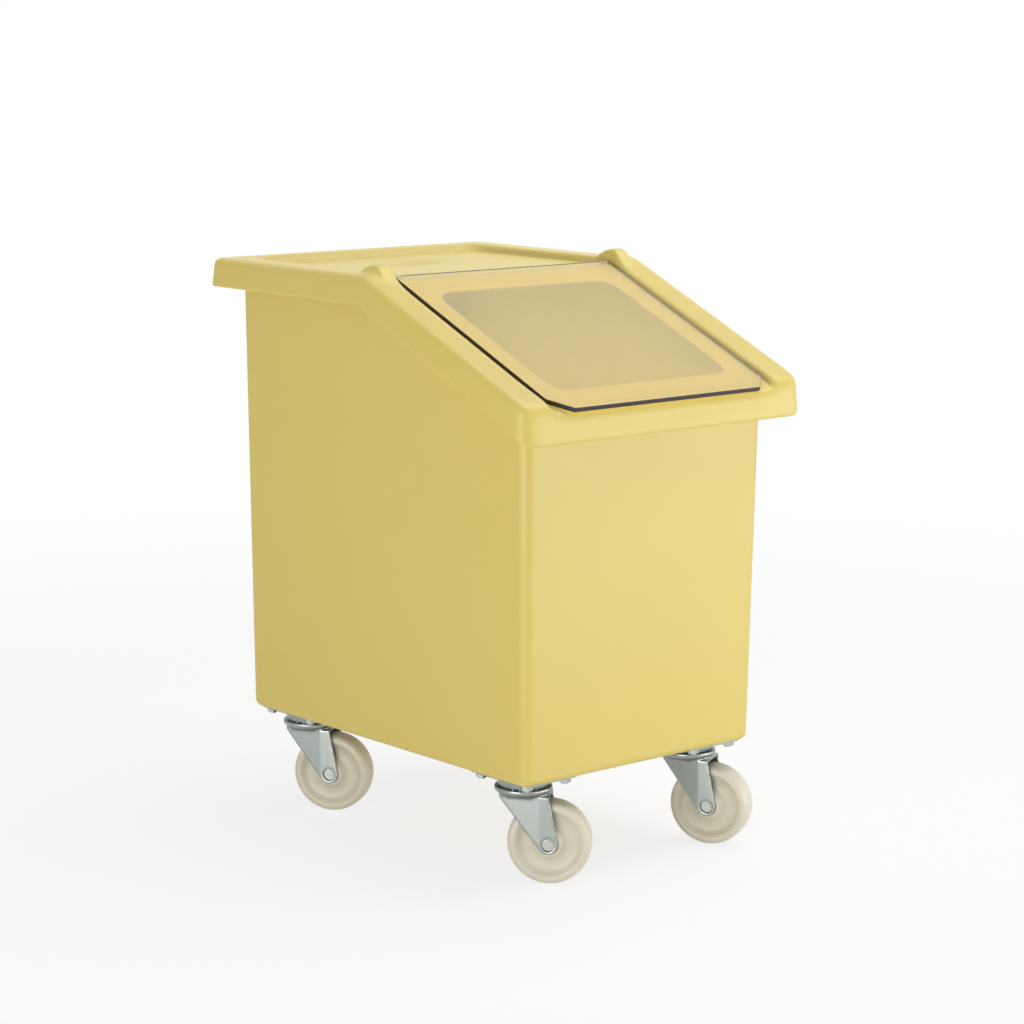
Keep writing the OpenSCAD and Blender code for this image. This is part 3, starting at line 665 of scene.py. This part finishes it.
# Wheels: solid nylon, with a soft tread and a dished web.
wheel = {
    # radius and half width in mm
    "profile": ((7.6, 19.5), (13, 19.5), (15.8, 18.6), (20, 11.5), (25, 10.5), (32, 10.5), (36, 12.5),
                (40, 16.5), (43.5, 17), (48, 15.5), (50.2, 10), (50.2, 0)),
    "rounding": 2,
}


def makeWheel(end):
    joint = joints[end + "_roll"]
    bm = bmesh.new()
    otherHalf = [(radius, -width) for radius, width in reversed(wheel["profile"][:-1])]
    turnOnLathe(bm, (*wheel["profile"], *otherHalf), True)
    turn = Vector((0, 0, 1)).rotation_difference(Vector(joint["axis"])).to_matrix().to_4x4()
    place = Matrix.Translation(Vector(joint["pos_m"])) @ turn
    bmesh.ops.transform(bm, matrix=place, verts=bm.verts[:])
    piece = addPiece(end + "_nylon_wheel", bm, [whiteNylon], end + "_wheel",
                     [end + "_wheel"])
    addModifier(piece, "SUBSURF", {"levels": wheel["rounding"], "render_levels": wheel["rounding"]})


# Forks: one pressed sheet, a crown with two legs that turn inwards behind a bend, and a bowl on top.
fork = {
    "half": 23.25 * mm,
    "sheet": 3 * mm,
    "top": 108 * mm,
    "back": -27 * mm,
    "front": 33 * mm,
    "legEnd": 12 * mm,
    "arcSteps": 12,
    "bend": 11 * mm,  # behind the axle
    "flank": math.radians(7),
    "hole": 7.4 * mm,
    "holeSides": 12,
    # radius and height in mm
    "bowl": ((0, 106), (25.5, 106), (32.5, 110.5), (34.5, 112.5), (34.5, 116.4), (34, 116.9),
             (32.2, 116.9), (31.5, 115), (0, 115)),
    "grain": 1.1 * mm,  # size of the mesh that joins the bowl and the sheet
    "softening": {"factor": 0.5, "iterations": 6},
}


def forkLeg(trail, axleUp):
    axle = Vector((trail, axleUp))
    low = fork["top"] - fork["sheet"]
    back, front = Vector((fork["back"], low)), Vector((fork["front"], low))
    turns = []
    for corner, side in ((back, 1), (front, -1)):
        away = corner - axle
        turns.append(math.atan2(away.y, away.x) + side * math.acos(fork["legEnd"] / away.length))
    sweep = (turns[1] - turns[0]) % (2 * math.pi)
    outline = [Vector((fork["back"], fork["top"])), back]
    for step in range(fork["arcSteps"] + 1):
        angle = turns[0] + sweep * step / fork["arcSteps"]
        outline.append(axle + fork["legEnd"] * Vector((math.cos(angle), math.sin(angle))))
    return outline + [front, Vector((fork["front"], fork["top"]))]


def forkSheet(bm, trail, axleUp):
    shoulders = []
    for side in (-1, 1):
        leg = [bm.verts.new((at.x, side * fork["half"], at.y)) for at in forkLeg(trail, axleUp)]
        bm.faces.new(leg)
        shoulders.append((leg[0], leg[-1]))
    bm.faces.new((*shoulders[0], *reversed(shoulders[1])))
    bendX = trail - fork["bend"]
    cutAcross(bm, (bendX, 0, 0), (1, 0, 0))
    for v in bm.verts:
        v.co.y -= math.copysign(max(0.0, bendX - v.co.x) * math.tan(fork["flank"]), v.co.y)


def forkHoles(bm, trail, axleUp):
    axle = Vector((trail, 0, axleUp))
    for step in range(fork["holeSides"]):
        turn = 2 * math.pi * step / fork["holeSides"]
        outward = Vector((math.cos(turn), 0, math.sin(turn)))
        straight = [f for f in bm.faces if near(abs(f.calc_center_median().y), fork["half"])]
        parts = {part for f in straight for part in (f, *f.edges, *f.verts)}
        cutAcross(bm, axle + fork["hole"] * outward, outward, list(parts))
    discs = []
    for f in bm.faces:
        away = f.calc_center_median() - axle
        if near(abs(away.y), fork["half"]) and math.hypot(away.x, away.z) < fork["hole"]:
            discs.append(f)
    bmesh.ops.delete(bm, geom=discs, context="FACES")


def makeFork(end):
    king = Vector(joints[end + "_swivel"]["pos_m"])
    axle = Vector(joints[end + "_roll"]["pos_m"])
    reach = (axle - king).xy
    bm = bmesh.new()
    forkSheet(bm, reach.length, axle.z)
    forkHoles(bm, reach.length, axle.z)
    bmesh.ops.recalc_face_normals(bm, faces=bm.faces[:])
    bmesh.ops.solidify(bm, geom=bm.faces[:], thickness=fork["sheet"])
    turnOnLathe(bm, fork["bowl"], False)
    turn = Matrix.Rotation(math.atan2(reach.y, reach.x), 4, "Z")
    bmesh.ops.transform(bm, matrix=Matrix.Translation((king.x, king.y, 0)) @ turn, verts=bm.verts[:])
    piece = addPiece(end + "_pressed_fork", bm, [zincPlate], end + "_swivel",
                     [end + "_fork"])
    addModifier(piece, "REMESH", {"mode": "VOXEL", "voxel_size": fork["grain"],
                                  "use_smooth_shade": True})
    addModifier(piece, "SMOOTH", fork["softening"])


makeTub()
makeCover()
makeFlap()
for end in ends:
    makeWheel(end)
    makeFork(end)
print("pieces made")


# stage, light and camera

studio = {
    "floor": 60.0,
    "floorColour": "#f4f4f2",
    "floorGlow": (0.8, 1.0),  # share of the floor that shows plain white, under the bin and far from it
    "floorFade": (0.8, 2.6),  # distances in metres between which it rises
    "fill": 0.3,
    "sky": 1.0,  # strength of the white that is seen directly
    "lamps": (  # place, width and height in metres, watts
        ((1.6, -2.2, 0.3), (3.0, 0.6), 36.0),
        ((-3.0, -1.2, 0.3), (2.0, 0.6), 48.0),
        ((0.9, -0.4, 3.2), (2.2, 2.6), 68.0),
        ((2.6, 3.1, 1.75), (3.0, 1.5), 5.0),
    ),
    "aim": (0.0, 0.0, 0.45),
}


def seenDirectly(tree):
    path = addNode(tree, "ShaderNodeLightPath")
    seen = addNode(tree, "ShaderNodeMath", {"operation": "MAXIMUM"},
                   {0: path.outputs["Is Camera Ray"], 1: path.outputs["Is Glossy Ray"]})
    seen = addNode(tree, "ShaderNodeMath", {"operation": "MAXIMUM"},
                   {0: seen.outputs[0], 1: path.outputs["Is Transmission Ray"]})
    return seen.outputs[0]


def makeStage():
    bm = bmesh.new()
    bmesh.ops.create_grid(bm, x_segments=1, y_segments=1, size=studio["floor"])
    mesh = bpy.data.meshes.new("floor")
    bm.to_mesh(mesh)
    bm.free()
    material, tree = newTree("pale_floor")
    place = addNode(tree, "ShaderNodeTexCoord").outputs["Object"]
    away = addNode(tree, "ShaderNodeVectorMath", {"operation": "LENGTH"}, {0: place})
    white = addNode(tree, "ShaderNodeMapRange", {"interpolation_type": "SMOOTHSTEP"},
                    {"Value": away.outputs["Value"], "From Min": studio["floorFade"][0],
                     "From Max": studio["floorFade"][1], "To Min": studio["floorGlow"][0],
                     "To Max": studio["floorGlow"][1]})
    share = addNode(tree, "ShaderNodeMath", {"operation": "MULTIPLY"},
                    {0: seenDirectly(tree), 1: white.outputs["Result"]})
    matt = addNode(tree, "ShaderNodeBsdfDiffuse", None, {"Color": toLinear(studio["floorColour"])})
    glow = addNode(tree, "ShaderNodeEmission", None, {"Color": plainWhite, "Strength": studio["sky"]})
    both = addNode(tree, "ShaderNodeMixShader", None,
                   {0: share.outputs[0], 1: matt.outputs["BSDF"], 2: glow.outputs["Emission"]})
    addNode(tree, "ShaderNodeOutputMaterial", None, {"Surface": both.outputs["Shader"]})
    mesh.materials.append(material)
    floor = bpy.data.objects.new("floor", mesh)
    bpy.context.scene.collection.objects.link(floor)


def makeLight():
    world = bpy.data.worlds.new("studio")
    world.use_nodes = True
    tree = world.node_tree
    tree.nodes.clear()
    level = addNode(tree, "ShaderNodeMapRange", None,
                    {"Value": seenDirectly(tree), "To Min": studio["fill"], "To Max": studio["sky"]})
    sky = addNode(tree, "ShaderNodeBackground", None,
                  {"Color": plainWhite, "Strength": level.outputs["Result"]})
    addNode(tree, "ShaderNodeOutputWorld", None, {"Surface": sky.outputs["Background"]})
    bpy.context.scene.world = world
    for index, (place, size, watts) in enumerate(studio["lamps"]):
        lamp = bpy.data.lights.new(f"softbox{index}", "AREA")
        lamp.shape = "RECTANGLE"
        lamp.size, lamp.size_y = size
        lamp.energy = watts
        holder = bpy.data.objects.new(lamp.name, lamp)
        holder.location = place
        look = (Vector(studio["aim"]) - Vector(place)).to_track_quat("-Z", "Y")
        holder.rotation_euler = look.to_euler()
        bpy.context.scene.collection.objects.link(holder)


# the photograph's own angle, worked out from the edges of the bin
photoCamera = {
    "place": (-2.3126, -2.6893, 1.0211),
    "aim": (0.0198, -0.0015, 0.3978),
    "roll": math.radians(0.37),
    "lens": 101.8,
    "sensor": 36.0,
}


def makeCamera():
    data = bpy.data.cameras.new("photo_camera")
    data.lens = photoCamera["lens"]
    data.sensor_width = photoCamera["sensor"]
    holder = bpy.data.objects.new("photo_camera", data)
    look = (Vector(photoCamera["aim"]) - Vector(photoCamera["place"])).to_track_quat("-Z", "Y")
    holder.matrix_world = (Matrix.Translation(photoCamera["place"]) @ look.to_matrix().to_4x4()
                           @ Matrix.Rotation(photoCamera["roll"], 4, "Z"))
    bpy.context.scene.collection.objects.link(holder)
    bpy.context.scene.camera = holder


makeStage()
makeLight()
makeCamera()
bpy.context.scene.view_settings.view_transform = "Standard"
print("stage, light and camera set")
